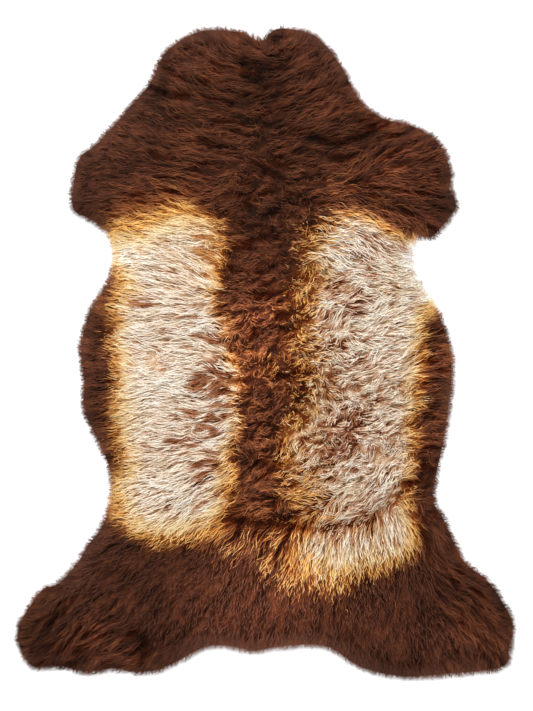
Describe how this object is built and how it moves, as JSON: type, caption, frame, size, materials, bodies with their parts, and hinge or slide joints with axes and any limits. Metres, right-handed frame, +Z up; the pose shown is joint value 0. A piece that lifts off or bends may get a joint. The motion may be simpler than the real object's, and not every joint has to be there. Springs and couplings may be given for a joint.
{
  "type": "sheepskin rug",
  "caption": "Natural sheepskin rug lying flat, wool side up, in the shape of the whole hide, brown with cream patches.",
  "frame": {"origin": "on the floor, under the middle of the rug's outline", "axes": "+Y along the spine to the neck end, +X to the right as seen from above with the neck away from the viewer, +Z up out of the wool"},
  "size_m": [0.8116, 1.0594, 0.054],
  "materials": {
    "wool": "natural piebald wool, dark brown with cream patches and amber edges, combed, slightly lustrous",
    "suede": "pale tanned flesh side of the hide, matt and finely napped"
  },
  "bodies": {
    "root": {"sheepskin": "wool"}
  },
  "joints": []
}
